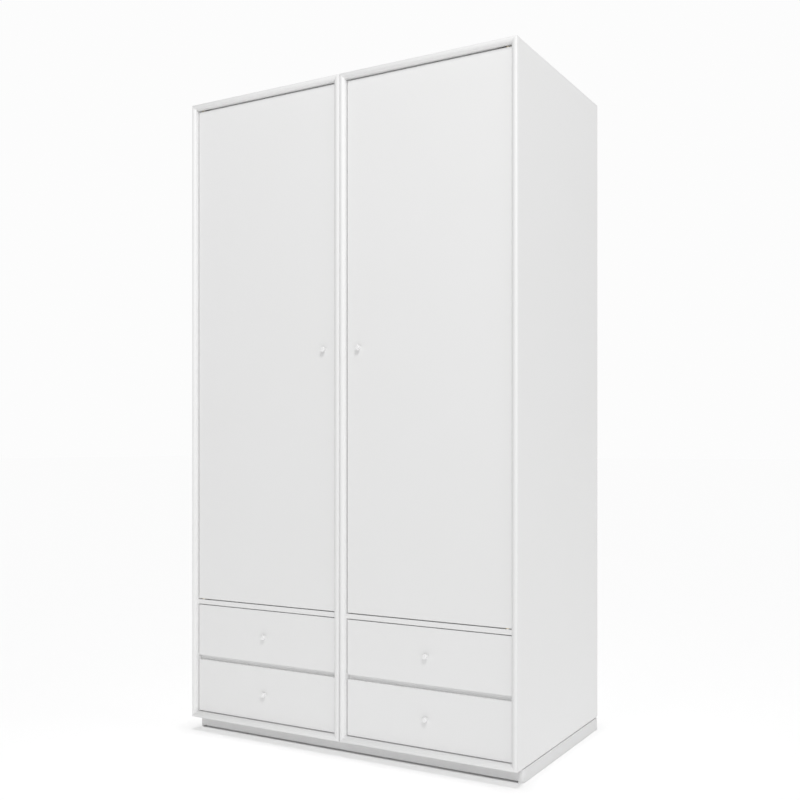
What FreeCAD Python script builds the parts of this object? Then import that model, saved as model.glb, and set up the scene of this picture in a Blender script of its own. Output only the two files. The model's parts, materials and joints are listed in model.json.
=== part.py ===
"""Wardrobe of two modules on one plinth: a tall inset door over two inset drawers in each module.

+X is to the right of a person facing the wardrobe, -Y is the front and +Z is up. The origin is on the
floor, under the centre of the overall box. Sizes are in millimetres. The right-hand module is modelled,
and the left-hand one is its mirror image.
"""

import math
import os

import FreeCAD
import Part

# ---- driving dimensions ----
MODULE_W = 600.0          # width of one module
CARCASS_D = 600.0         # depth of the carcass
CARCASS_H = 2020.0        # height of the carcass, without the plinth
PLINTH_H = 40.0
PANEL_T = 20.0            # sides, top and bottom
CORNER_R = 6.0            # outer corners of the carcass, along its depth
BACK_T = 8.0              # back panel
BACK_LAP = 10.0           # how far the back panel is let into the panels round it
FIXED_SHELF_T = 15.0
HAT_SHELF_T = 16.0
FACE_RECESS = 14.0        # from the carcass front to the faces of doors and drawers
FRONT_T = 19.0            # doors and drawer fronts
FRONT_EDGE_R = 1.2
KNOB_L = 14.0             # from the face that the knob is on to its tip
KNOB_R = 8.0

DOOR_SIDE_GAP = 3.0
DOOR_TOP_GAP = 4.0
DOOR_BOTTOM_GAP = 3.0
DRAWER_SIDE_GAP = 2.5

# heights above the underside of the carcass
LOWER_FRONT = (22.5, 191.0)
DIVIDER = (191.5, 204.0)
UPPER_FRONT = (206.0, 371.5)
FIXED_SHELF_TOP = 389.0
HAT_SHELF_TOP = 1720.0
HANGING_RAIL = 1640.0
DOOR_KNOB_HEIGHT = 1190.0
DOOR_KNOB_FROM_SEAM = 65.0

PIVOT_FROM_EDGE = 15.0    # door pivot axis, from the door's hinge edge
PIVOT_FROM_FACE = 8.0     # and from the door's front face
PIVOT_PIN_R = 4.0
RUNNING_CLEARANCE = 0.05

RUNNER_SPACE = 13.0       # from the carcass side to the drawer side
RUNNER_L = 500.0
RUNNER_H = 46.0
RUNNER_SHEET = 1.2
RUNNER_CENTRE = 45.0      # above the bottom of the drawer box
BOX_BOARD_T = 12.0
BOX_BOTTOM_T = 6.0
BOX_BOTTOM_RAISE = 8.0
BOX_H = 130.0
BOX_L = 500.0
BOX_ABOVE_FRONT_EDGE = 13.5

PLINTH_BOARD_T = 20.0
PLINTH_SETBACK = 40.0     # from the carcass front
PLINTH_SIDE_INSET = 0.5
PLINTH_REAR_INSET = 2.0
PLINTH_CORNER_R = 15.0
PLINTH_RELIEF_H = 6.0     # clearance under the front board, between its rounded corners
SHADOW_GROOVE = (2.0, 5.0)  # height and depth of the groove under the carcass

# ---- planes worked out from them ----
OVERHANG = KNOB_L - FACE_RECESS
FRONT = -(CARCASS_D + OVERHANG) / 2 + OVERHANG
REAR = FRONT + CARCASS_D
FACE = FRONT + FACE_RECESS
FACE_BACK = FACE + FRONT_T
BACK_FACE = REAR - BACK_T
BASE = PLINTH_H
TOP = BASE + CARCASS_H
INNER_L = PANEL_T                   # inner faces of the right-hand module's sides
INNER_R = MODULE_W - PANEL_T
MIDDLE = MODULE_W / 2
SHELF_UPPER = BASE + FIXED_SHELF_TOP
DOOR_X = (INNER_L + DOOR_SIDE_GAP, INNER_R - DOOR_SIDE_GAP)
DOOR_Z = (SHELF_UPPER + DOOR_BOTTOM_GAP, TOP - PANEL_T - DOOR_TOP_GAP)
PIVOT_X = DOOR_X[1] - PIVOT_FROM_EDGE
PIVOT_Y = FACE + PIVOT_FROM_FACE

X_AXIS = FreeCAD.Vector(1, 0, 0)
Y_AXIS = FreeCAD.Vector(0, 1, 0)
Z_AXIS = FreeCAD.Vector(0, 0, 1)


def vec(x, y, z):
    return FreeCAD.Vector(x, y, z)


def block(x0, x1, y0, y1, z0, z1):
    """A box between two corners."""
    return Part.makeBox(x1 - x0, y1 - y0, z1 - z0, vec(x0, y0, z0))


def rod(start, axis, radius, length):
    """A cylinder from a point along an axis."""
    return Part.makeCylinder(radius, length, start, axis)


def prism(points, direction):
    """A straight prism over a polygon."""
    return Part.Face(Part.makePolygon(points + points[:1])).extrude(direction)


def softened_block(x0, x1, y0, y1, z0, z1, radius):
    """A box with every edge rounded."""
    solid = block(x0, x1, y0, y1, z0, z1)
    return solid.makeFillet(radius, solid.Edges)


def drilled(solid, cutters):
    """The solid with every cutter taken out."""
    for cutter in cutters:
        solid = solid.cut(cutter)
    return solid


# ---- carcass panels ----
def nosed_profile(thickness, across):
    """A panel's section, square at the rear and fully rounded in front. across runs over its thickness."""
    radius = thickness / 2
    near = vec(0, FRONT + radius, 0)
    far = vec(0, BACK_FACE + BACK_T, 0)
    lower = [near, far]
    upper = [near + across * thickness, far + across * thickness]
    nose = Part.Arc(upper[0], vec(0, FRONT, 0) + across * radius, lower[0])
    edges = [
        Part.LineSegment(lower[0], lower[1]).toShape(),
        Part.LineSegment(lower[1], upper[1]).toShape(),
        Part.LineSegment(upper[1], upper[0]).toShape(),
        nose.toShape(),
    ]
    return Part.Face(Part.Wire(edges))


def upright(x0):
    """A full-height side panel whose left face is at x0."""
    side = nosed_profile(PANEL_T, X_AXIS).extrude(Z_AXIS * CARCASS_H)
    side.translate(vec(x0, 0, BASE))
    return side


def level(z0, thickness, x0, x1):
    """A horizontal panel whose underside is at z0."""
    panel = nosed_profile(thickness, Z_AXIS).extrude(X_AXIS * (x1 - x0))
    panel.translate(vec(x0, 0, z0))
    return panel


def module_envelope():
    """The module's outline with rounded corners, as a solid over its whole depth."""
    solid = block(0, MODULE_W, FRONT, REAR, BASE, TOP)
    along = [e for e in solid.Edges if abs(e.tangentAt(e.FirstParameter).y) > 0.9]
    return solid.makeFillet(CORNER_R, along)


def mitred(panel, corners, envelope):
    """The panel cut to a four-cornered outline, with mitres at its ends."""
    outline = [vec(x, FRONT - 1, z) for x, z in corners]
    return panel.common(prism(outline, Y_AXIS * (CARCASS_D + 2))).common(envelope)


def back_panel():
    return block(
        INNER_L - BACK_LAP, INNER_R + BACK_LAP, BACK_FACE, REAR,
        BASE + PANEL_T - BACK_LAP, TOP - PANEL_T + BACK_LAP,
    )


def carcass_panels():
    """The four mitred panels, each rebated for the back panel."""
    envelope = module_envelope()
    x = (0, INNER_L, INNER_R, MODULE_W)
    z = (BASE, BASE + PANEL_T, TOP - PANEL_T, TOP)
    panels = {
        "inner_side": (upright(x[0]), [(x[0], z[0]), (x[1], z[1]), (x[1], z[2]), (x[0], z[3])]),
        "outer_side": (upright(x[2]), [(x[3], z[0]), (x[3], z[3]), (x[2], z[2]), (x[2], z[1])]),
        "bottom_panel": (
            level(z[0], PANEL_T, x[0], x[3]),
            [(x[0], z[0]), (x[3], z[0]), (x[2], z[1]), (x[1], z[1])],
        ),
        "top_panel": (
            level(z[2], PANEL_T, x[0], x[3]),
            [(x[0], z[3]), (x[1], z[2]), (x[2], z[2]), (x[3], z[3])],
        ),
    }
    return {
        name: mitred(panel, corners, envelope).cut(back_panel())
        for name, (panel, corners) in panels.items()
    }


def inner_board(x0, x1, y0, y1, top, thickness):
    return block(x0, x1, y0, y1, top - thickness, top)


def fixed_shelf():
    """The shelf between door and drawers, level with their faces in front, its front edges eased."""
    shelf = inner_board(INNER_L, INNER_R, FACE, BACK_FACE, SHELF_UPPER, FIXED_SHELF_T)
    front_edges = [e for e in shelf.Edges if e.BoundBox.YMax < FACE + 1 and e.BoundBox.XLength > 1]
    return shelf.makeFillet(FRONT_EDGE_R, front_edges)


# ---- door pivots ----
PIVOT_PLATE = (-32.0, 9.0, 6.0, 2.5)   # inner end, outer end, half width, thickness
PIVOT_PIN_IN_DOOR = 12.0
BUSH_R = 5.5
BUSH_FLANGE = (7.0, 1.0)               # radius and thickness
BUSH_DEPTH = 14.0
PIVOT_COLLAR_R = 6.0
THRUST_CLEARANCE = 0.35


def pivot_plate(z0):
    inner, outer, half, thickness = PIVOT_PLATE
    plate = block(PIVOT_X + inner, PIVOT_X + outer, PIVOT_Y - half, PIVOT_Y + half, z0, z0 + thickness)
    upright_edges = [e for e in plate.Edges if abs(e.tangentAt(e.FirstParameter).z) > 0.9]
    return plate.makeFillet(3.0, upright_edges)


def top_pivot():
    """Plate let into the top panel, with a pin that hangs into the door."""
    length = DOOR_TOP_GAP + PIVOT_PIN_IN_DOOR
    pin = rod(vec(PIVOT_X, PIVOT_Y, TOP - PANEL_T - length), Z_AXIS, PIVOT_PIN_R, length + 1)
    return pivot_plate(TOP - PANEL_T).fuse(pin).removeSplitter()


def bottom_pivot():
    """Plate let into the fixed shelf, with a pin that stands into the door and a collar that carries it."""
    thickness = PIVOT_PLATE[3]
    foot = vec(PIVOT_X, PIVOT_Y, SHELF_UPPER - 1)
    pin = rod(foot, Z_AXIS, PIVOT_PIN_R, 1 + DOOR_BOTTOM_GAP + PIVOT_PIN_IN_DOOR)
    collar = rod(foot, Z_AXIS, PIVOT_COLLAR_R, 1 + DOOR_BOTTOM_GAP - BUSH_FLANGE[1] - THRUST_CLEARANCE)
    return pivot_plate(SHELF_UPPER - thickness).fuse(pin).fuse(collar).removeSplitter()


def bush(edge_z, inwards):
    """Flanged bush in the end of the door. inwards is +1 or -1 along Z, into the door."""
    into = Z_AXIS * inwards
    edge = vec(PIVOT_X, PIVOT_Y, edge_z)
    flange = rod(edge - into * BUSH_FLANGE[1], into, BUSH_FLANGE[0], BUSH_FLANGE[1])
    body = rod(edge, into, BUSH_R, BUSH_DEPTH)
    bore = rod(edge - into * 2, into, PIVOT_PIN_R + RUNNING_CLEARANCE, BUSH_DEPTH + 2)
    return flange.fuse(body).cut(bore).removeSplitter()


def bush_hole(edge_z, inwards):
    into = Z_AXIS * inwards
    return rod(vec(PIVOT_X, PIVOT_Y, edge_z) - into, into, BUSH_R, BUSH_DEPTH + 1)


# ---- knobs ----
KNOB_BASE_R = 5.5
KNOB_NECK_R = 4.2
KNOB_NECK_L = 5.0
KNOB_EDGE_R = 2.5
SCREW_R = 2.0
SCREW_HOLE_R = 2.05
SCREW_HEAD = (4.0, 2.4)
SCREW_IN_KNOB = 8.0


def knob(x, z):
    """A turned knob that stands out of the front's face along -Y, with a blind hole for its screw."""
    def at(radius, out):
        return vec(x + radius, FACE - out, z)

    neck_middle = KNOB_NECK_L / 2
    rim = KNOB_L - KNOB_EDGE_R
    turn = KNOB_EDGE_R * math.sqrt(0.5)
    edges = [
        Part.LineSegment(at(0, 0), at(KNOB_BASE_R, 0)).toShape(),
        Part.Arc(at(KNOB_BASE_R, 0), at(KNOB_NECK_R, neck_middle), at(KNOB_BASE_R, KNOB_NECK_L)).toShape(),
        Part.LineSegment(at(KNOB_BASE_R, KNOB_NECK_L), at(KNOB_R, KNOB_NECK_L + 1.5)).toShape(),
        Part.LineSegment(at(KNOB_R, KNOB_NECK_L + 1.5), at(KNOB_R, rim)).toShape(),
        Part.Arc(
            at(KNOB_R, rim),
            at(KNOB_R - KNOB_EDGE_R + turn, rim + turn),
            at(KNOB_R - KNOB_EDGE_R, KNOB_L),
        ).toShape(),
        Part.LineSegment(at(KNOB_R - KNOB_EDGE_R, KNOB_L), at(0, KNOB_L)).toShape(),
        Part.LineSegment(at(0, KNOB_L), at(0, 0)).toShape(),
    ]
    body = Part.Face(Part.Wire(edges)).revolve(vec(x, FACE, z), Y_AXIS, 360)
    hole = rod(vec(x, FACE + 1, z), -Y_AXIS, SCREW_HOLE_R, SCREW_IN_KNOB + 3)
    return body.cut(hole)


def knob_screw(x, z, grip):
    """The screw that holds a knob, through a board or boards of total thickness grip."""
    head_r, head_l = SCREW_HEAD
    shank = rod(vec(x, FACE - SCREW_IN_KNOB, z), Y_AXIS, SCREW_R, SCREW_IN_KNOB + grip + 1)
    head = rod(vec(x, FACE + grip, z), Y_AXIS, head_r, head_l)
    rim = [e for e in head.Edges if e.BoundBox.YMin > FACE + grip + head_l / 2]
    return shank.fuse(head.makeFillet(0.9, rim[:1])).removeSplitter()


def screw_hole(x, z, grip):
    return rod(vec(x, FACE - 1, z), Y_AXIS, SCREW_HOLE_R, grip + 2)


# ---- door catch ----
CATCH = (24.0, 13.0, 14.0)              # depth, width from the side, height
CATCH_FROM_TOP = 60.0
STRIKE = (16.0, 22.0, 1.0)              # width, height, thickness
STRIKE_CLEARANCE = 0.5


def catch_z():
    return TOP - PANEL_T - CATCH_FROM_TOP


def door_catch():
    """Magnet catch on the inner side panel, just behind the door."""
    depth, width, height = CATCH
    y0 = FACE_BACK + STRIKE[2] + STRIKE_CLEARANCE
    z0, z1 = catch_z() - height / 2, catch_z() + height / 2
    return softened_block(INNER_L, INNER_L + width, y0, y0 + depth, z0, z1, 1.0)


def strike():
    """Steel plate on the back of the door, in line with the catch."""
    width, height, thickness = STRIKE
    x0 = INNER_L + DOOR_SIDE_GAP + 1
    z0, z1 = catch_z() - height / 2, catch_z() + height / 2
    plate = block(x0, x0 + width, FACE_BACK, FACE_BACK + thickness, z0, z1)
    through = [e for e in plate.Edges if abs(e.tangentAt(e.FirstParameter).y) > 0.9]
    return plate.makeFillet(2.5, through)


# ---- door ----
def door():
    knob_x, knob_z = DOOR_KNOB_FROM_SEAM, BASE + DOOR_KNOB_HEIGHT
    panel = softened_block(*DOOR_X, FACE, FACE_BACK, *DOOR_Z, FRONT_EDGE_R)
    holes = [screw_hole(knob_x, knob_z, FRONT_T), bush_hole(DOOR_Z[0], 1), bush_hole(DOOR_Z[1], -1)]
    return drilled(panel, holes)


# ---- drawers and their runners ----
def channel(u0, u1, half, sheet, y0, y1, z, opens_right):
    """A folded sheet channel along Y: web at one side, lips reaching over to the other."""
    outer = block(u0, u1, y0, y1, z - half, z + half)
    if opens_right:
        inner = block(u0 + sheet, u1 + 1, y0 - 1, y1 + 1, z - half + sheet, z + half - sheet)
    else:
        inner = block(u0 - 1, u1 - sheet, y0 - 1, y1 + 1, z - half + sheet, z + half - sheet)
    return outer.cut(inner)


RUNNER_PLAY = 0.5                        # between each member and the next
CARCASS_MEMBER_W = 11.0
MIDDLE_MEMBER_W = 10.5
DRAWER_MEMBER_H = 38.0
DRAWER_MEMBER_W = 9.0
RUNNER_FROM_FACE_BACK = 2.0


def runner_member(kind, z):
    """One member of a telescopic runner on the module's left side, and its mirror twin on the right."""
    y0 = FACE_BACK + RUNNER_FROM_FACE_BACK
    y1 = y0 + RUNNER_L
    inset = RUNNER_SHEET + RUNNER_PLAY
    if kind == "carcass":
        member = channel(INNER_L, INNER_L + CARCASS_MEMBER_W, RUNNER_H / 2, RUNNER_SHEET, y0, y1, z, True)
    elif kind == "middle":
        half = RUNNER_H / 2 - inset
        member = channel(
            INNER_L + inset, INNER_L + MIDDLE_MEMBER_W, half, RUNNER_SHEET, y0, y1, z, True
        )
    else:
        u1 = INNER_L + RUNNER_SPACE
        member = channel(u1 - DRAWER_MEMBER_W, u1, DRAWER_MEMBER_H / 2, RUNNER_SHEET, y0, y1, z, False)
    return [member, member.mirror(vec(MIDDLE, 0, 0), X_AXIS)]


def drawer_front(z_range):
    z0, z1 = BASE + z_range[0], BASE + z_range[1]
    x0, x1 = INNER_L + DRAWER_SIDE_GAP, INNER_R - DRAWER_SIDE_GAP
    panel = softened_block(x0, x1, FACE, FACE_BACK, z0, z1, FRONT_EDGE_R)
    return panel.cut(screw_hole(MIDDLE, (z0 + z1) / 2, FRONT_T))


def drawer_box(z_range):
    """Two sides, inner front, back and bottom of a drawer, as five boards."""
    z0 = BASE + z_range[0] + BOX_ABOVE_FRONT_EDGE
    z1 = z0 + BOX_H
    x0, x1 = INNER_L + RUNNER_SPACE, INNER_R - RUNNER_SPACE
    y0, y1 = FACE_BACK, FACE_BACK + BOX_L
    t = BOX_BOARD_T
    bottom_z = z0 + BOX_BOTTOM_RAISE
    middle_z = BASE + (z_range[0] + z_range[1]) / 2
    groove = 5.0
    bottom = block(
        x0 + t - groove, x1 - t + groove, y0 + t - groove, y1 - t + groove,
        bottom_z, bottom_z + BOX_BOTTOM_T,
    )
    boards = [
        block(x0, x0 + t, y0, y1, z0, z1),
        block(x1 - t, x1, y0, y1, z0, z1),
        block(x0 + t, x1 - t, y0, y0 + t, z0, z1).cut(screw_hole(MIDDLE, middle_z, FRONT_T + t)),
        block(x0 + t, x1 - t, y1 - t, y1, z0, z1),
    ]
    return [board.cut(bottom) for board in boards] + [bottom]


def drawer_nodes(name, z_range):
    """Every piece of one drawer, and the middle members of its two runners."""
    middle_z = BASE + (z_range[0] + z_range[1]) / 2
    runner_z = BASE + z_range[0] + BOX_ABOVE_FRONT_EDGE + RUNNER_CENTRE
    return {
        f"{name}_drawer_front": [drawer_front(z_range)],
        f"{name}_drawer_box": drawer_box(z_range),
        f"{name}_drawer_knob": [knob(MIDDLE, middle_z), knob_screw(MIDDLE, middle_z, FRONT_T + BOX_BOARD_T)],
        f"{name}_drawer_slides": runner_member("drawer", runner_z),
        f"{name}_middle_slides": runner_member("middle", runner_z),
    }


# ---- inside fittings ----
SHELF_PIN_R = 2.5
SHELF_PIN_IN = 9.0
SHELF_PIN_OUT = 10.0
SHELF_PLAY = 1.0
HAT_SHELF_SETBACK = 60.0
RAIL_R = 12.5
RAIL_WALL = 1.2
SOCKET_PLATE = (22.0, 3.0)
SOCKET_CUP = (16.0, 15.0)
SOCKET_PLAY = 0.2
RAIL_Y = (FRONT + REAR) / 2


def shelf_pin_places():
    z = BASE + HAT_SHELF_TOP - HAT_SHELF_T - SHELF_PIN_R
    for y in (FRONT + HAT_SHELF_SETBACK + 50, BACK_FACE - 60):
        yield vec(INNER_L, y, z), -1
        yield vec(INNER_R, y, z), 1


def shelf_pins():
    """Steel pins in the sides that carry the hat shelf."""
    pins = []
    for place, outward in shelf_pin_places():
        start = place + X_AXIS * outward * SHELF_PIN_IN
        pins.append(rod(start, X_AXIS * -outward, SHELF_PIN_R, SHELF_PIN_IN + SHELF_PIN_OUT))
    return pins


def shelf_pin_holes():
    return [
        rod(place - X_AXIS * outward, X_AXIS * outward, SHELF_PIN_R, SHELF_PIN_IN + 1)
        for place, outward in shelf_pin_places()
    ]


def hanging_rail():
    plate = SOCKET_PLATE[1]
    start = vec(INNER_L + plate, RAIL_Y, BASE + HANGING_RAIL)
    length = INNER_R - INNER_L - 2 * plate
    return rod(start, X_AXIS, RAIL_R, length).cut(rod(start, X_AXIS, RAIL_R - RAIL_WALL, length))


def rail_sockets():
    """Round cups on the sides that hold the ends of the hanging rail."""
    sockets = []
    for x, inwards in ((INNER_L, 1), (INNER_R, -1)):
        centre = vec(x, RAIL_Y, BASE + HANGING_RAIL)
        into = X_AXIS * inwards
        plate = rod(centre, into, SOCKET_PLATE[0], SOCKET_PLATE[1])
        cup = rod(centre + into, into, SOCKET_CUP[0], SOCKET_CUP[1])
        hollow = rod(centre + into * SOCKET_PLATE[1], into, RAIL_R + SOCKET_PLAY, SOCKET_CUP[1] + 1)
        sockets.append(plate.fuse(cup).cut(hollow).removeSplitter())
    return sockets


# ---- fixing to the wall ----
BRACKET = (40.0, 50.0, 40.0, 2.0)       # width, height of the rear leg, depth of the upper leg, thickness
WALL_HOLE_R = 3.25
WALL_HOLE_BELOW = 30.0
BRACKET_SCREW = (2.0, 14.0, 4.0, 2.0)   # shank radius, shank length, head radius, head height


def wall_hole():
    start = vec(MIDDLE, BACK_FACE - BRACKET[3] - 1, TOP - PANEL_T - WALL_HOLE_BELOW)
    return rod(start, Y_AXIS, WALL_HOLE_R, BRACKET[3] + BACK_T + 2)


def bracket_screw_places():
    for offset in (-12.0, 12.0):
        yield vec(MIDDLE + offset, BACK_FACE - BRACKET[2] * 0.6, TOP - PANEL_T)


def bracket_screw_holes():
    thickness = BRACKET[3]
    return [
        rod(place - Z_AXIS * (thickness + 1), Z_AXIS, BRACKET_SCREW[0], thickness + 1 + BRACKET_SCREW[1])
        for place in bracket_screw_places()
    ]


def wall_bracket():
    """Angle that ties the top panel to the wall through the back panel, with its two screws."""
    width, height, depth, thickness = BRACKET
    x0, x1 = MIDDLE - width / 2, MIDDLE + width / 2
    top = TOP - PANEL_T
    rear_leg = block(x0, x1, BACK_FACE - thickness, BACK_FACE, top - height, top)
    upper_leg = block(x0, x1, BACK_FACE - depth, BACK_FACE, top - thickness, top)
    angle = drilled(rear_leg.fuse(upper_leg).removeSplitter(), [wall_hole()] + bracket_screw_holes())
    shank_r, shank_l, head_r, head_h = BRACKET_SCREW
    screws = []
    for place in bracket_screw_places():
        under = place - Z_AXIS * thickness
        shank = rod(under, Z_AXIS, shank_r, thickness + shank_l)
        screws.append(shank.fuse(rod(under - Z_AXIS * head_h, Z_AXIS, head_r, head_h)).removeSplitter())
    return [angle] + screws


# ---- joining the two modules, and standing on the floor ----
CONNECTOR_R = 4.0
CONNECTOR_HEAD = (8.0, 1.5)
CONNECTOR_HEIGHTS = (430.0, 1200.0, 1950.0)
CONNECTOR_FROM_ENDS = 90.0
FOOT_DISC = (16.0, 5.0)
FOOT_STUD_R = 4.0
FOOT_STUD_IN = 12.0
FOOT_X = (60.0, 540.0)
FOOT_FROM_ENDS = (100.0, 60.0)


def connector_places():
    for height in CONNECTOR_HEIGHTS:
        for y in (FRONT + CONNECTOR_FROM_ENDS, REAR - CONNECTOR_FROM_ENDS):
            yield vec(0, y, BASE + height)


def connector_holes():
    return [rod(place - X_AXIS, X_AXIS, CONNECTOR_R, PANEL_T + 2) for place in connector_places()]


def module_connectors():
    """Sleeve bolts through the two inner sides."""
    head_r, head_h = CONNECTOR_HEAD
    bolts = []
    for place in connector_places():
        shank = rod(place - X_AXIS * PANEL_T, X_AXIS, CONNECTOR_R, 2 * PANEL_T)
        left = rod(place - X_AXIS * (PANEL_T + head_h), X_AXIS, head_r, head_h)
        right = rod(place + X_AXIS * PANEL_T, X_AXIS, head_r, head_h)
        bolts.append(shank.fuse(left).fuse(right).removeSplitter())
    return bolts


def foot_places():
    for x in FOOT_X:
        for y in (FRONT + FOOT_FROM_ENDS[0], REAR - FOOT_FROM_ENDS[1]):
            yield vec(x, y, 0)


def levelling_feet():
    """Discs on threaded studs, behind the plinth boards."""
    disc_r, disc_h = FOOT_DISC
    feet = []
    for place in foot_places():
        disc = rod(place, Z_AXIS, disc_r, disc_h)
        stud = rod(place + Z_AXIS * 2, Z_AXIS, FOOT_STUD_R, PLINTH_H - 2 + FOOT_STUD_IN)
        feet.append(disc.fuse(stud).removeSplitter())
    return feet


def foot_holes():
    return [rod(p + Z_AXIS * (PLINTH_H - 1), Z_AXIS, FOOT_STUD_R, FOOT_STUD_IN + 1) for p in foot_places()]


def plinth_boards():
    """Front board with rounded corners, two ends and a rear board, with a shadow groove at the top."""
    half_w = MODULE_W - PLINTH_SIDE_INSET
    y0, y1 = FRONT + PLINTH_SETBACK, REAR - PLINTH_REAR_INSET
    groove_h, groove_d = SHADOW_GROOVE

    def slab(inset, z0, z1, radius):
        solid = block(-half_w + inset, half_w - inset, y0 + inset, y1 - inset, z0, z1)
        front_edges = [
            e for e in solid.Edges
            if abs(e.tangentAt(e.FirstParameter).z) > 0.9 and e.BoundBox.YMax < 0
        ]
        return solid.makeFillet(radius, front_edges)

    outline = slab(0, 0, PLINTH_H - groove_h, PLINTH_CORNER_R)
    neck = slab(groove_d, PLINTH_H - groove_h, PLINTH_H, PLINTH_CORNER_R - groove_d)
    t = PLINTH_BOARD_T
    ring = outline.fuse(neck).cut(block(-half_w + t, half_w - t, y0 + t, y1 - t, -1, PLINTH_H + 1))
    front = block(-half_w, half_w, y0, y0 + t, -1, PLINTH_H + 1)
    rear = block(-half_w, half_w, y1 - t, y1, -1, PLINTH_H + 1)
    left = block(-half_w, -half_w + t, y0 + t, y1 - t, -1, PLINTH_H + 1)
    right = block(half_w - t, half_w, y0 + t, y1 - t, -1, PLINTH_H + 1)
    standing = half_w - PLINTH_CORNER_R
    relief = block(-standing, standing, y0 - 1, y0 + t + 1, -1, PLINTH_RELIEF_H)
    return {
        "plinth_front": [ring.common(front).cut(relief).removeSplitter()],
        "plinth_rear": [ring.common(rear).removeSplitter()],
        "plinth_left_end": [ring.common(left).removeSplitter()],
        "plinth_right_end": [ring.common(right).removeSplitter()],
    }


# ---- one module, and the whole wardrobe ----
def module_nodes():
    """The right-hand module: a node name without its side, and the node's solids."""
    panels = carcass_panels()
    rail_z = BASE + HANGING_RAIL
    panels["inner_side"] = drilled(panels["inner_side"], shelf_pin_holes() + connector_holes())
    panels["outer_side"] = drilled(panels["outer_side"], shelf_pin_holes())
    panels["top_panel"] = drilled(panels["top_panel"], bracket_screw_holes() + [top_pivot()])
    panels["bottom_panel"] = drilled(panels["bottom_panel"], foot_holes())
    hat_shelf = inner_board(
        INNER_L + SHELF_PLAY, INNER_R - SHELF_PLAY, FRONT + HAT_SHELF_SETBACK, BACK_FACE - SHELF_PLAY,
        BASE + HAT_SHELF_TOP, HAT_SHELF_T,
    )
    nodes = {name: [solid] for name, solid in panels.items()}
    nodes["back_panel"] = [back_panel().cut(wall_hole())]
    nodes["fixed_shelf"] = [fixed_shelf().cut(bottom_pivot())]
    nodes["divider_rail"] = [
        block(INNER_L, INNER_R, FACE + 11, FACE + 71, BASE + DIVIDER[0], BASE + DIVIDER[1])
    ]
    nodes["hat_shelf"] = [hat_shelf]
    nodes["hanging_rail"] = [hanging_rail()]
    nodes["door"] = [door()]
    knob_z = BASE + DOOR_KNOB_HEIGHT
    nodes["door_knob"] = [knob(DOOR_KNOB_FROM_SEAM, knob_z), knob_screw(DOOR_KNOB_FROM_SEAM, knob_z, FRONT_T)]
    nodes["door_bushes"] = [bush(DOOR_Z[0], 1), bush(DOOR_Z[1], -1)]
    nodes["door_strike"] = [strike()]
    runners = []
    for name, z_range in (("lower", LOWER_FRONT), ("upper", UPPER_FRONT)):
        nodes.update(drawer_nodes(name, z_range))
        runners += runner_member("carcass", BASE + z_range[0] + BOX_ABOVE_FRONT_EDGE + RUNNER_CENTRE)
    nodes["drawer_runners"] = runners
    return nodes


def shared_nodes():
    """Fittings that both modules share: the right-hand module's solids, by node name."""
    return {
        "door_pivots": [top_pivot(), bottom_pivot()],
        "door_catches": [door_catch()],
        "shelf_pins": shelf_pins(),
        "hanging_rail_sockets": rail_sockets(),
        "wall_brackets": wall_bracket(),
        "levelling_feet": levelling_feet(),
    }


def mirrored(solids):
    return [solid.mirror(vec(0, 0, 0), X_AXIS) for solid in solids]


def wardrobe():
    """Every node of the wardrobe and its solids."""
    nodes = {}
    for name, solids in module_nodes().items():
        nodes[f"right_{name}"] = solids
        nodes[f"left_{name}"] = mirrored(solids)
    for name, solids in shared_nodes().items():
        nodes[name] = solids + mirrored(solids)
    nodes["module_connectors"] = module_connectors()
    nodes.update(plinth_boards())
    return nodes


def export(nodes):
    """Write each node to its own STEP file."""
    os.makedirs("parts", exist_ok=True)
    for name, solids in nodes.items():
        pieces = [solid for shape in solids for solid in shape.Solids]
        shape = pieces[0] if len(pieces) == 1 else Part.makeCompound(pieces)
        shape.exportStep(os.path.join("parts", name + ".step"))
        volume = shape.Volume / 1000
        print(f"{name}: {len(pieces)} solid(s), valid {shape.isValid()}, volume {volume:.1f} cm3")


export(wardrobe())
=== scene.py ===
"""Looks of the wardrobe: lacquer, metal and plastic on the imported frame, and the small fittings on it."""
import json
import math

import bmesh
import bpy
from mathutils import Matrix, Vector


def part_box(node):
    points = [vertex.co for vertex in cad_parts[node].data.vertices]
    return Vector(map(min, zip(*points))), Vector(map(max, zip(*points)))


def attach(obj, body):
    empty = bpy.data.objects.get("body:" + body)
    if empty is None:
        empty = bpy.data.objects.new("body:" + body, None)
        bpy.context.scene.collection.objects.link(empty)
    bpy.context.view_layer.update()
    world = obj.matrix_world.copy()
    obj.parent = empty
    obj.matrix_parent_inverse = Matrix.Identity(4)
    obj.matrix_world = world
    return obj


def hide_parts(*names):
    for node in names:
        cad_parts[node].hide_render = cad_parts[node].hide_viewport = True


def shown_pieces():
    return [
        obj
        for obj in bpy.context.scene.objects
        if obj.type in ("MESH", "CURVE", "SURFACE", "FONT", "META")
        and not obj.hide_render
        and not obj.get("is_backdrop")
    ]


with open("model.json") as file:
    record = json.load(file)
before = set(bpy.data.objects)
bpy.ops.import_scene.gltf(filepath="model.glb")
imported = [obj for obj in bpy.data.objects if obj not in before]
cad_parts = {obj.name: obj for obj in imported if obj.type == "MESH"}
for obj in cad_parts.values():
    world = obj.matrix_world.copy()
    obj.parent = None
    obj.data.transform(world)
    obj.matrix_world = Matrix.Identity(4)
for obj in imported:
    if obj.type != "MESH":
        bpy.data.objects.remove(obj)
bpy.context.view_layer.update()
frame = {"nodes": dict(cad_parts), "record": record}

MM = 0.001
NODES = frame["nodes"]
SIDES = {"left": -1, "right": 1}    # places are read from the right module and mirrored for the left one
ROWS = ("lower", "upper")


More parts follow.
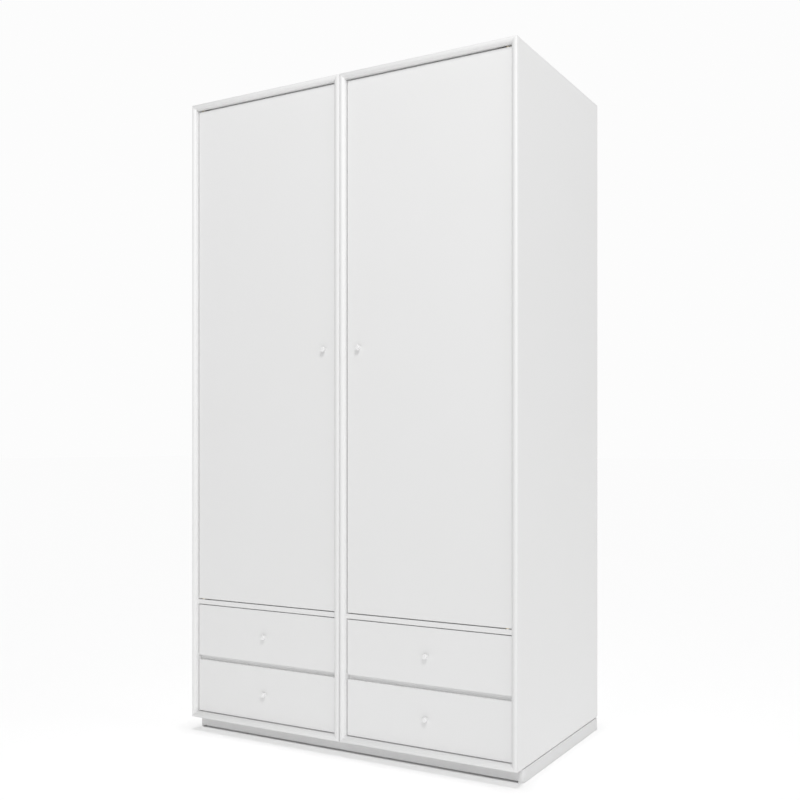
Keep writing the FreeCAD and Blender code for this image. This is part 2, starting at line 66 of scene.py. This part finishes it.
# ---------------------------------------------------------------- materials
RAMP_START, RAMP_END = 0.35, 0.65    # noise keeps to the middle of its range
LACQUER_TINT = (1, 1, 0.997)
LACQUER_CLOUD = (0.994, 0.994, 0.991)
BOARD_TINT = (1, 1, 0.985)
BOARD_GRAIN_DARK = (0.965, 0.962, 0.945)
BOARD_GRAIN_LIGHT = (1, 0.998, 0.985)
BOARD_STRETCH = (8, 0.6, 8)         # longest along the drawer


def tinted(shade, tint):
    return [shade * share for share in tint]


def new_material(name, color, roughness, metallic=0.0):
    """A Principled material, and the nodes and links that its texture is built with."""
    mat = bpy.data.materials.new(name)
    mat.use_nodes = True
    tree = mat.node_tree
    shader = tree.nodes["Principled BSDF"]
    shader.inputs["Base Color"].default_value = (*color, 1)
    shader.inputs["Roughness"].default_value = roughness
    shader.inputs["Metallic"].default_value = metallic
    mat.diffuse_color = (*color, 1)
    return mat, tree, shader


def add_node(tree, kind, **inputs):
    """A node with some of its inputs set."""
    node = tree.nodes.new(kind)
    for key, value in inputs.items():
        node.inputs[key].default_value = value
    return node


def noise(tree, scale, detail=3.0, stretch=(1, 1, 1)):
    """Noise in the piece's own coordinates, which are metres. stretch scales it along each axis."""
    coords = add_node(tree, "ShaderNodeTexCoord")
    mapping = add_node(tree, "ShaderNodeMapping", Scale=stretch)
    texture = add_node(tree, "ShaderNodeTexNoise", Scale=scale, Detail=detail)
    tree.links.new(coords.outputs["Object"], mapping.inputs["Vector"])
    tree.links.new(mapping.outputs["Vector"], texture.inputs["Vector"])
    return texture.outputs["Fac"]


def vary_color(tree, shader, fac, low, high):
    """Let the colour wander between two colours."""
    ramp = add_node(tree, "ShaderNodeValToRGB")
    start, end = ramp.color_ramp.elements
    start.position, end.position = RAMP_START, RAMP_END
    start.color = (*low, 1)
    end.color = (*high, 1)
    tree.links.new(fac, ramp.inputs["Fac"])
    tree.links.new(ramp.outputs["Color"], shader.inputs["Base Color"])


def vary_roughness(tree, shader, fac, low, high):
    """Let the roughness wander between two values."""
    spread = add_node(tree, "ShaderNodeMapRange")
    spread.inputs["To Min"].default_value = low
    spread.inputs["To Max"].default_value = high
    tree.links.new(fac, spread.inputs["Value"])
    tree.links.new(spread.outputs["Result"], shader.inputs["Roughness"])


def add_bump(tree, shader, fac, strength, depth):
    """Raise the surface by a texture. depth is in metres."""
    bump = add_node(tree, "ShaderNodeBump", Strength=strength, Distance=depth)
    tree.links.new(fac, bump.inputs["Height"])
    tree.links.new(bump.outputs["Normal"], shader.inputs["Normal"])


def lacquer(name, shade, roughness=0.55):
    """Sprayed satin lacquer: faint cloudiness, and the fine ripple that spraying leaves."""
    mat, tree, shader = new_material(name, tinted(shade, LACQUER_TINT), roughness)
    clouds = noise(tree, scale=2.2)
    ripple = noise(tree, scale=420, detail=2)
    vary_color(tree, shader, clouds, tinted(shade, LACQUER_CLOUD), [shade] * 3)
    vary_roughness(tree, shader, noise(tree, scale=30), roughness - 0.04, roughness + 0.04)
    add_bump(tree, shader, ripple, strength=0.10, depth=0.08 * MM)
    return mat


def board(name, shade):
    """Matt melamine film with a faint pressed grain along the drawer."""
    mat, tree, shader = new_material(name, tinted(shade, BOARD_TINT), roughness=0.5)
    grain = noise(tree, scale=60, detail=6, stretch=BOARD_STRETCH)
    vary_color(tree, shader, grain, tinted(shade, BOARD_GRAIN_DARK), tinted(shade, BOARD_GRAIN_LIGHT))
    add_bump(tree, shader, grain, strength=0.15, depth=0.1 * MM)
    return mat


def plated_steel(name, color, roughness, stretch):
    """Plated sheet with the drawn lines of rolling, and slightly uneven plating."""
    mat, tree, shader = new_material(name, color, roughness, metallic=1.0)
    lines = noise(tree, scale=120, detail=4, stretch=stretch)
    vary_color(tree, shader, noise(tree, scale=25), [c * 0.9 for c in color], color)
    vary_roughness(tree, shader, lines, roughness - 0.1, roughness + 0.12)
    add_bump(tree, shader, lines, strength=0.12, depth=0.05 * MM)
    return mat


def chrome(name):
    """Bright chrome with the faint haze of handling."""
    mat, tree, shader = new_material(name, (0.86, 0.87, 0.88), roughness=0.08, metallic=1.0)
    vary_roughness(tree, shader, noise(tree, scale=40, detail=5), low=0.05, high=0.14)
    vary_color(tree, shader, noise(tree, scale=8), low=(0.83, 0.84, 0.86), high=(0.88, 0.885, 0.89))
    return mat


def plastic(name, color):
    """Moulded plastic with a fine spark-eroded grain."""
    mat, tree, shader = new_material(name, color, roughness=0.45)
    vary_color(tree, shader, noise(tree, scale=60), [c * 0.96 for c in color], color)
    add_bump(tree, shader, noise(tree, scale=2500, detail=2), strength=0.2, depth=0.03 * MM)
    return mat


MATERIALS = {
    "white_lacquer": lacquer("white_lacquer", shade=0.80),
    "plinth_lacquer": lacquer("plinth_lacquer", shade=0.78),
    "drawer_board": board("drawer_board", shade=0.84),
    "knob_lacquer": lacquer("knob_lacquer", shade=0.82, roughness=0.30),
    "zinc_steel": plated_steel("zinc_steel", (0.66, 0.67, 0.68), roughness=0.34, stretch=(10, 0.3, 10)),
    "nickel_steel": plated_steel("nickel_steel", (0.72, 0.71, 0.69), roughness=0.28, stretch=(2, 2, 2)),
    "chrome_rail": chrome("chrome_rail"),
    "brass_bush": plated_steel("brass_bush", (0.80, 0.62, 0.32), roughness=0.30, stretch=(2, 2, 12)),
    "white_plastic": plastic("white_plastic", (0.86, 0.86, 0.85)),
    "grey_plastic": plastic("grey_plastic", (0.10, 0.105, 0.11)),
}


# ---------------------------------------------------------------- the CAD pieces
SOFT_EDGED = ("white_lacquer", "plinth_lacquer", "drawer_board")
SOFT_EDGE = 0.5 * MM
SOFT_EDGE_ANGLE = 50                # corners sharper than this are broken
WELD_DISTANCE = 0.01 * MM


def finish_cad_nodes():
    """Give every node its slot's material, and break the sharp edges of the boards."""
    for entry in frame["record"]["subparts"]:
        node, slot = NODES[entry["node"]], entry["material_slot"]
        node.data.materials.clear()
        node.data.materials.append(MATERIALS[slot])
        weld = node.modifiers.new("weld", "WELD")
        weld.merge_threshold = WELD_DISTANCE
        if slot in SOFT_EDGED:
            bevel = node.modifiers.new("soft_edge", "BEVEL")
            bevel.width = SOFT_EDGE
            bevel.segments = 2
            bevel.limit_method = "ANGLE"
            bevel.angle_limit = math.radians(SOFT_EDGE_ANGLE)
            bevel.loop_slide = False            # sliding folds the long thin faces beside the screw holes
            bevel.harden_normals = True


finish_cad_nodes()


# ---------------------------------------------------------------- mesh tools
SHARP_ANGLE = 35                    # edges of small pieces sharper than this are shaded sharp


def lathe(profile, steps=48):
    """A closed solid turned round +Z. profile is (radius, height) points that start and end at radius 0."""
    bm = bmesh.new()
    turns = [2 * math.pi / steps * k for k in range(steps)]
    rings = []
    for radius, height in profile:
        if radius == 0:
            rings.append([bm.verts.new((0, 0, height))] * steps)
            continue
        rings.append([bm.verts.new((radius * math.cos(t), radius * math.sin(t), height)) for t in turns])
    for low, high in zip(rings, rings[1:]):
        for k in range(steps):
            corners = [low[k], low[(k + 1) % steps], high[(k + 1) % steps], high[k]]
            unique = list(dict.fromkeys(corners))
            if len(unique) > 2:
                bm.faces.new(unique)
    bmesh.ops.recalc_face_normals(bm, faces=bm.faces)
    mesh = bpy.data.meshes.new("turned")
    bm.to_mesh(mesh)
    bm.free()
    return mesh


def prism(outline, z0, z1):
    """A closed prism along Z, from z0 to z1. The outline runs anticlockwise."""
    bm = bmesh.new()
    low = [bm.verts.new((x, y, z0)) for x, y in outline]
    high = [bm.verts.new((x, y, z1)) for x, y in outline]
    bm.faces.new(low[::-1])
    bm.faces.new(high)
    for k in range(len(outline)):
        bm.faces.new((low[k - 1], low[k], high[k], high[k - 1]))
    mesh = bpy.data.meshes.new("prism")
    bm.to_mesh(mesh)
    bm.free()
    return mesh


def carve(mesh, tool):
    """The mesh with a tool mesh taken out of it."""
    body = bpy.data.objects.new("carve_body", mesh)
    cutter = bpy.data.objects.new("carve_tool", tool)
    for obj in (body, cutter):
        bpy.context.scene.collection.objects.link(obj)
    cut = body.modifiers.new("cut", "BOOLEAN")
    cut.operation = "DIFFERENCE"
    cut.solver = "EXACT"
    cut.object = cutter
    graph = bpy.context.evaluated_depsgraph_get()
    result = bpy.data.meshes.new_from_object(body.evaluated_get(graph))
    for obj in (body, cutter):
        bpy.data.objects.remove(obj)
    return result


def facing(place, direction, spin=0.0):
    """The matrix that carries a template built along +Z to a place, pointing in a direction."""
    turn = Vector(direction).to_track_quat("Z", "Y").to_matrix().to_4x4()
    return Matrix.Translation(Vector(place)) @ turn @ Matrix.Rotation(spin, 4, "Z")


def piece(name, template, matrices, slot, body, replaces=None):
    """Add one object made of copies of a template mesh, with its finish and the body that it rides on."""
    bm = bmesh.new()
    for matrix in matrices:
        copy = template.copy()
        copy.transform(matrix)
        bm.from_mesh(copy)
        bpy.data.meshes.remove(copy)
    mesh = bpy.data.meshes.new(name)
    bm.to_mesh(mesh)
    bm.free()
    mesh.polygons.foreach_set("use_smooth", [True] * len(mesh.polygons))
    mesh.set_sharp_from_angle(angle=math.radians(SHARP_ANGLE))
    mesh.materials.append(MATERIALS[slot])
    obj = bpy.data.objects.new(name, mesh)
    bpy.context.scene.collection.objects.link(obj)
    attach(obj, body)
    if replaces:
        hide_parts(replaces)


def arc(centre, radius, start, end, steps):
    """Points of an arc. Angles are in degrees, 0 along the first axis and 90 along the second."""
    turns = [math.radians(start + (end - start) * k / steps) for k in range(steps + 1)]
    return [(centre[0] + radius * math.cos(t), centre[1] + radius * math.sin(t)) for t in turns]


def cross_recess(width, reach, depth, top):
    """A cross-shaped prism that cuts the recess of a screw, and stands a millimetre out of its head."""
    w, r = width / 2, reach / 2
    outline = []
    for x, y in ((1, 1), (-1, 1), (-1, -1), (1, -1)):
        corner = [(x * r, y * w), (x * w, y * w), (x * w, y * r)]
        outline += corner if x * y > 0 else corner[::-1]
    return prism(outline, top - depth, top + MM)


def pan_head(radius, height):
    """A domed screw head with a cross recess, standing on z = 0."""
    rim = 0.35                      # share of the height that is straight
    angles = [math.radians(degrees) for degrees in range(15, 90, 15)]
    profile = [(0, 0), (radius, 0), (radius, height * rim)]
    profile += [(radius * math.cos(a), height * (rim + (1 - rim) * math.sin(a))) for a in angles]
    profile += [(0, height)]
    recess = cross_recess(width=radius * 0.28, reach=radius * 1.15, depth=height * 0.7, top=height)
    return carve(lathe(profile), recess)


def flat_head(radius):
    """A countersunk screw head that stands a hair proud of z = 0."""
    proud = 0.15 * MM
    shank, sunk, rim = radius * 0.5, radius * 0.6, radius * 0.93
    profile = [(0, -sunk), (shank, -sunk), (radius, -proud), (radius, proud * 0.3), (rim, proud), (0, proud)]
    recess = cross_recess(width=radius * 0.26, reach=radius * 1.1, depth=radius * 0.5, top=proud)
    return carve(lathe(profile), recess)


# ---------------------------------------------------------------- knobs
KNOB_FOOT = 5.5 * MM                # radius on the face
KNOB_WAIST = 4.2 * MM               # smallest radius
KNOB_NECK = 5 * MM                  # length of the waisted stretch
KNOB_SHOULDER = ((-0.6 * MM, 1.0 * MM), (0, 1.8 * MM))    # from the head's radius and from the neck's end
KNOB_RIM = 2.5 * MM                 # radius of the rounded rim
KNOB_CROWN = 0.35 * MM              # how far the end bulges
KNOB_SCREW = (4 * MM, 2.4 * MM)     # radius and height of the head


def centre_of(low, high):
    return (Vector(low) + Vector(high)) / 2


def knob_profile(length, head):
    """The knob's turned outline, from its foot on the face to its slightly crowned end."""
    steps = 8
    narrowing = KNOB_WAIST - KNOB_FOOT
    waist = [
        (KNOB_FOOT + narrowing * math.sin(math.pi * k / steps), KNOB_NECK * k / steps)
        for k in range(steps + 1)
    ]
    shoulder = [(head + out, KNOB_NECK + up) for out, up in KNOB_SHOULDER]
    rim = arc((head - KNOB_RIM, length - KNOB_CROWN - KNOB_RIM), KNOB_RIM, 0, 80, steps)
    crown = [(head * 0.35, length - KNOB_CROWN * 0.15), (0, length)]
    return [(0, 0)] + waist + shoulder + rim + crown


def add_knob(prefix):
    """The turned knob of one door or drawer and the screw behind it, in place of the plain CAD pieces."""
    low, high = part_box(prefix + "_knob")
    face_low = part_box(prefix if prefix.endswith("door") else prefix + "_front")[0]
    middle = centre_of(low, high)
    length = face_low[1] - low[1]
    head = (high[0] - low[0]) / 2
    turned = lathe(knob_profile(length, head), steps=64)
    outwards = [facing((middle.x, face_low[1], middle.z), (0, -1, 0))]
    piece(prefix + "_knob_turned", turned, outwards, "knob_lacquer", prefix, replaces=prefix + "_knob")
    screw_radius, screw_height = KNOB_SCREW
    screw = [facing((middle.x, high[1] - screw_height, middle.z), (0, 1, 0))]
    piece(prefix + "_knob_screw", pan_head(screw_radius, screw_height), screw, "nickel_steel", prefix)


def add_knobs():
    for side in SIDES:
        add_knob(f"{side}_door")
        for row in ROWS:
            add_knob(f"{side}_{row}_drawer")


add_knobs()


# ---------------------------------------------------------------- screws and small fittings
PIVOT_FROM_EDGE = 15 * MM                       # the pivot's axis, from the door's outer edge
PIVOT_FROM_FACE = 8 * MM                        # and behind the door's face
PIVOT_SCREWS = (12 * MM, 25 * MM)               # from the pivot's axis, inwards
PIVOT_SCREW_RADIUS = 3 * MM
STRIKE_SCREWS = (12 * MM, 7 * MM)               # from the plate's inner edge, and above and below its middle
STRIKE_SCREW_RADIUS = 2.2 * MM
CATCH_POLES = (4.5 * MM, 9.5 * MM)              # from the side panel
CATCH_POLE_BAR = (1.6 * MM, 10 * MM, 0.5 * MM)  # width, length and corner radius
CATCH_POLE_ENDS = (-0.4 * MM, 0.3 * MM)         # in the magnet's face, and proud of it
CATCH_SCREW_BACK = 15 * MM                      # from the catch's front end
CATCH_SCREW = (3 * MM, 1.4 * MM)                # radius and height of the head, as in the screws below
SOCKET_FLANGE = (19 * MM, 3 * MM)               # radius of the screws' circle, and thickness
SOCKET_SCREW = (2.6 * MM, 1.4 * MM)
CONNECTOR_RADIUS = 8 * MM                       # radius of a connector's head
CONNECTOR_RISE = 770 * MM                       # from the lowest connectors up to the middle ones
CONNECTOR_CAP = (6.5 * MM, 1.2 * MM)
DRAWER_BOARD = 12 * MM                          # thickness
FRONT_SCREWS = (170 * MM, 44 * MM, 104 * MM)    # out from the middle, and the two heights in the drawer box
FRONT_SCREW = (4 * MM, 2.2 * MM)
SLIDE_SHEET = 1.2 * MM                          # thickness
SLIDE_SCREWS = (35 * MM, 250 * MM, 465 * MM)    # from the slide's front end
SLIDE_SCREW = (3.4 * MM, 1.6 * MM)
LEVER_BACK = 330 * MM                           # from the slide's front end
LEVER_BAR = (7 * MM, 46 * MM, 2.5 * MM)         # width, length and corner radius
LEVER_HEIGHT = 2.2 * MM


def add_pivot_screws(side, sign):
    """Countersunk screws in the pivot plates, above and below the door."""
    low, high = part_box("right_door")
    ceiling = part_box("right_top_panel")[0][2]
    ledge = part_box("right_fixed_shelf")[1][2]
    y = low[1] + PIVOT_FROM_FACE
    places = []
    for inwards in PIVOT_SCREWS:
        x = sign * (high[0] - PIVOT_FROM_EDGE - inwards)
        places.append(facing((x, y, ceiling), (0, 0, -1)))
        places.append(facing((x, y, ledge), (0, 0, 1)))
    piece(side + "_pivot_screws", flat_head(PIVOT_SCREW_RADIUS), places, "nickel_steel", "carcass")


def add_strike_screws(side, sign):
    """Two countersunk screws in the strike plate on the back of the door."""
    low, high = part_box("right_door_strike")
    inwards, apart = STRIKE_SCREWS
    middle = centre_of(low, high).z
    x = sign * (low[0] + inwards)
    places = [facing((x, high[1], middle + step), (0, 1, 0)) for step in (-apart, apart)]
    piece(side + "_strike_screws", flat_head(STRIKE_SCREW_RADIUS), places, "nickel_steel", side + "_door")


def rounded_bar(width, length, corner, z0, z1):
    """A flat bar with rounded corners, centred on the axis, its length along Y."""
    outline = []
    for quarter, (sx, sy) in enumerate(((1, 1), (-1, 1), (-1, -1), (1, -1))):
        centre = (sx * (width / 2 - corner), sy * (length / 2 - corner))
        outline += arc(centre, corner, 90 * quarter, 90 * quarter + 90, steps=4)
    return prism(outline, z0, z1)


def add_catch_fittings(side, sign):
    """The two steel poles of the magnet, and the screw that holds the catch to the side."""
    low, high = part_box("door_catches")
    middle = centre_of(low, high).z
    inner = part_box("right_inner_side")[1][0]
    poles = [facing((sign * (inner + step), low[1], middle), (0, -1, 0)) for step in CATCH_POLES]
    bar = rounded_bar(*CATCH_POLE_BAR, *CATCH_POLE_ENDS)
    piece(side + "_catch_poles", bar, poles, "nickel_steel", "carcass")
    screw = [facing((sign * high[0], low[1] + CATCH_SCREW_BACK, middle), (sign, 0, 0))]
    piece(side + "_catch_screw", pan_head(*CATCH_SCREW), screw, "nickel_steel", "carcass")


def add_socket_screws(side, sign):
    """Two screws in the flange of each rail socket."""
    low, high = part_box("hanging_rail_sockets")
    middle = centre_of(low, high)
    circle, thickness = SOCKET_FLANGE
    inner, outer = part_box("right_inner_side")[1][0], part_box("right_outer_side")[0][0]
    places = []
    for step in (-circle, circle):
        for x, inwards in ((inner + thickness, 1), (outer - thickness, -1)):
            places.append(facing((sign * x, middle.y, middle.z + step), (sign * inwards, 0, 0)))
    piece(side + "_socket_screws", pan_head(*SOCKET_SCREW), places, "nickel_steel", "carcass")


def add_connector_caps(side, sign):
    """The recessed crowns on the heads of the sleeve bolts between the modules."""
    low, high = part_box("module_connectors")
    lowest = low[2] + CONNECTOR_RADIUS
    heights = (lowest, lowest + CONNECTOR_RISE, high[2] - CONNECTOR_RADIUS)
    depths = (low[1] + CONNECTOR_RADIUS, high[1] - CONNECTOR_RADIUS)
    places = [facing((sign * high[0], y, z), (sign, 0, 0)) for z in heights for y in depths]
    piece(side + "_connector_caps", pan_head(*CONNECTOR_CAP), places, "nickel_steel", "carcass")


def add_front_screws(side, row, sign):
    """Four screws inside the drawer that hold its front."""
    low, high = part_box(f"right_{row}_drawer_box")
    body = f"{side}_{row}_drawer"
    middle = centre_of(low, high).x
    out, lower, upper = FRONT_SCREWS
    places = [
        facing((sign * (middle + step), low[1] + DRAWER_BOARD, low[2] + rise), (0, 1, 0))
        for step in (-out, out) for rise in (lower, upper)
    ]
    piece(f"{side}_{row}_front_screws", pan_head(*FRONT_SCREW), places, "nickel_steel", body)


def add_slide_fittings(side, row, sign):
    """Screws through each slide into the drawer side, and the plastic lever that releases the drawer."""
    low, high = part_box(f"right_{row}_drawer_slides")
    box_low, box_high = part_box(f"right_{row}_drawer_box")
    middle = centre_of(low, high).z
    webs = ((box_low[0] - SLIDE_SHEET, -1), (box_high[0] + SLIDE_SHEET, 1))
    body = f"{side}_{row}_drawer"
    screws = [
        facing((sign * x, low[1] + back, middle), (sign * outwards, 0, 0))
        for x, outwards in webs for back in SLIDE_SCREWS
    ]
    piece(f"{side}_{row}_slide_screws", pan_head(*SLIDE_SCREW), screws, "nickel_steel", body)
    lever = rounded_bar(*LEVER_BAR, 0, LEVER_HEIGHT)
    along_slide = math.pi / 2
    levers = [
        facing((sign * x, low[1] + LEVER_BACK, middle), (sign * outwards, 0, 0), along_slide)
        for x, outwards in webs
    ]
    piece(f"{side}_{row}_slide_levers", lever, levers, "grey_plastic", body)


def add_fittings():
    for side, sign in SIDES.items():
        add_pivot_screws(side, sign)
        add_strike_screws(side, sign)
        add_catch_fittings(side, sign)
        add_socket_screws(side, sign)
        add_connector_caps(side, sign)
        for row in ROWS:
            add_front_screws(side, row, sign)
            add_slide_fittings(side, row, sign)


add_fittings()


# ---------------------------------------------------------------- floor, light and camera
FRONT_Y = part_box("right_outer_side")[0][1]
CARCASS_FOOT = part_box("right_outer_side")[0][2]

FLOOR_REACH = 60                    # metres from the middle to each edge
FLOOR_COLOR = (0.92, 0.92, 0.92)
BACKDROP_BRIGHTNESS = 0.975
AMBIENT = 0.50

KEY_TARGET = Vector((0.2, FRONT_Y, 1.0))
KEY_DIRECTION = Vector((0.40, -0.57, 0.72))
KEY_DISTANCE = 6.5
KEY_WATTS = 172
KEY_SIZE = 1.8
NO_KEY_SHADOW = ("inner_side", "outer_side", "divider_rail")

OVERHEAD = Vector((0, 0, 1))
WASH_STRENGTH = 1.05
DOWN_STRENGTH = 1.0
DOWN_SPREAD = 5                     # degrees
FILL_DIRECTION = Vector((0.97, -0.15, 0.2))
FILL_STRENGTH = 0.38
FILL_SPREAD = 70                    # degrees
WRAP_DIRECTION = Vector((0.78, -0.62, 0.05))
WRAP_STRENGTH = 0.26

EYE_RIGHT = 1.7313                  # metres from the middle of the wardrobe
EYE_AHEAD = 2.2958                  # metres in front of the carcass
EYE_HEIGHT = 0.8962                 # metres above the carcass's foot
EYE_TURN = 26.66                    # degrees to the left of straight back
LENS = 42.22                        # millimetres
SENSOR = 36.0                       # millimetres
LENS_SHIFT = (-0.1375, 0.05625)     # sideways and up, as shares of the picture's width
FARTHEST_SEEN = 200                 # metres, past the corners of the floor


def add_floor():
    """A wide pale floor without shine, so that it has no bright edge far away."""
    bm = bmesh.new()
    bmesh.ops.create_grid(bm, x_segments=1, y_segments=1, size=FLOOR_REACH)
    mesh = bpy.data.meshes.new("floor")
    bm.to_mesh(mesh)
    bm.free()
    floor = bpy.data.objects.new("floor", mesh)
    mat, _, shader = new_material("studio_floor", FLOOR_COLOR, roughness=0.8)
    shader.inputs["Specular IOR Level"].default_value = 0.0
    mesh.materials.append(mat)
    bpy.context.scene.collection.objects.link(floor)
    floor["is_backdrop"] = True


def add_lamp(name, kind, place, target=(0, 0, 0)):
    """A lamp at a place, pointing at a target."""
    light = bpy.data.lights.new(name, kind)
    lamp = bpy.data.objects.new(name, light)
    lamp.location = place
    lamp.rotation_euler = (Vector(target) - Vector(place)).to_track_quat("-Z", "Y").to_euler()
    bpy.context.scene.collection.objects.link(lamp)
    return lamp, light


def light_only(lamp, objects):
    """Let the lamp light these objects and no others."""
    lit = bpy.data.collections.new("lit_by_" + lamp.name)
    for obj in objects:
        lit.objects.link(obj)
    lamp.light_linking.receiver_collection = lit


def shade_only_by(lamp, objects):
    """Let these objects cast shadows in the lamp's light, and no others."""
    casters = bpy.data.collections.new("casters_of_" + lamp.name)
    for obj in objects:
        casters.objects.link(obj)
    lamp.light_linking.blocker_collection = casters


def add_world():
    """White all round: bright where the camera sees it, softer as light."""
    world = bpy.data.worlds.new("studio")
    world.use_nodes = True
    tree = world.node_tree
    backdrop = tree.nodes["Background"]
    backdrop.inputs["Color"].default_value = (1, 1, 1, 1)
    backdrop.inputs["Strength"].default_value = BACKDROP_BRIGHTNESS
    soft = add_node(tree, "ShaderNodeBackground", Strength=AMBIENT)
    path = add_node(tree, "ShaderNodeLightPath")
    mix = add_node(tree, "ShaderNodeMixShader")
    tree.links.new(path.outputs["Is Camera Ray"], mix.inputs[0])
    tree.links.new(soft.outputs[0], mix.inputs[1])
    tree.links.new(backdrop.outputs[0], mix.inputs[2])
    tree.links.new(mix.outputs[0], tree.nodes["World Output"].inputs["Surface"])
    bpy.context.scene.world = world


def add_key():
    """The main light, from the front right and above. Side panels and divider rails cast no shadow in it."""
    lamp, key = add_lamp("key", "AREA", KEY_TARGET + KEY_DIRECTION * KEY_DISTANCE, KEY_TARGET)
    key.size = KEY_SIZE
    key.energy = KEY_WATTS
    light_only(lamp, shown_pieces())
    frames = [NODES[f"{side}_{part}"] for side in SIDES for part in NO_KEY_SHADOW]
    shade_only_by(lamp, [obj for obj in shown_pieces() if obj not in frames])


def add_floor_lights(plinth):
    """Two overhead lights for the floor. Only the plinth shades the wash, everything shades the other."""
    floor = [bpy.data.objects["floor"]]
    lamp, wash = add_lamp("wash", "SUN", OVERHEAD)
    wash.energy = WASH_STRENGTH
    light_only(lamp, floor)
    shade_only_by(lamp, plinth)
    lamp, down = add_lamp("down", "SUN", OVERHEAD)
    down.energy = DOWN_STRENGTH
    down.angle = math.radians(DOWN_SPREAD)
    light_only(lamp, floor)


def add_side_lights(plinth):
    """A wide fill for the right side, and a light without shadows that wraps the rounded front edges."""
    lamp, fill = add_lamp("fill", "SUN", FILL_DIRECTION)
    fill.energy = FILL_STRENGTH
    fill.angle = math.radians(FILL_SPREAD)
    light_only(lamp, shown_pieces())
    lamp, wrap = add_lamp("wrap", "SUN", WRAP_DIRECTION)
    wrap.energy = WRAP_STRENGTH
    wrap.use_shadow = False
    light_only(lamp, [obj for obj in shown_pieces() if obj not in plinth])


def add_lights():
    plinth = [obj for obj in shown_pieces() if obj.name.startswith("plinth")]
    add_world()
    add_key()
    add_floor_lights(plinth)
    add_side_lights(plinth)


def add_camera():
    """Eye a little below half height, to the right of the wardrobe, with upright lines kept upright."""
    camera = bpy.data.cameras.new("camera")
    camera.lens = LENS
    camera.sensor_width = SENSOR
    camera.shift_x, camera.shift_y = LENS_SHIFT
    camera.clip_end = FARTHEST_SEEN
    eye = bpy.data.objects.new("camera", camera)
    eye.location = (EYE_RIGHT, FRONT_Y - EYE_AHEAD, CARCASS_FOOT + EYE_HEIGHT)
    eye.rotation_euler = (math.radians(90), 0, math.radians(EYE_TURN))
    bpy.context.scene.collection.objects.link(eye)
    bpy.context.scene.camera = eye


add_floor()
add_lights()
add_camera()
bpy.context.scene.view_settings.view_transform = "Standard"
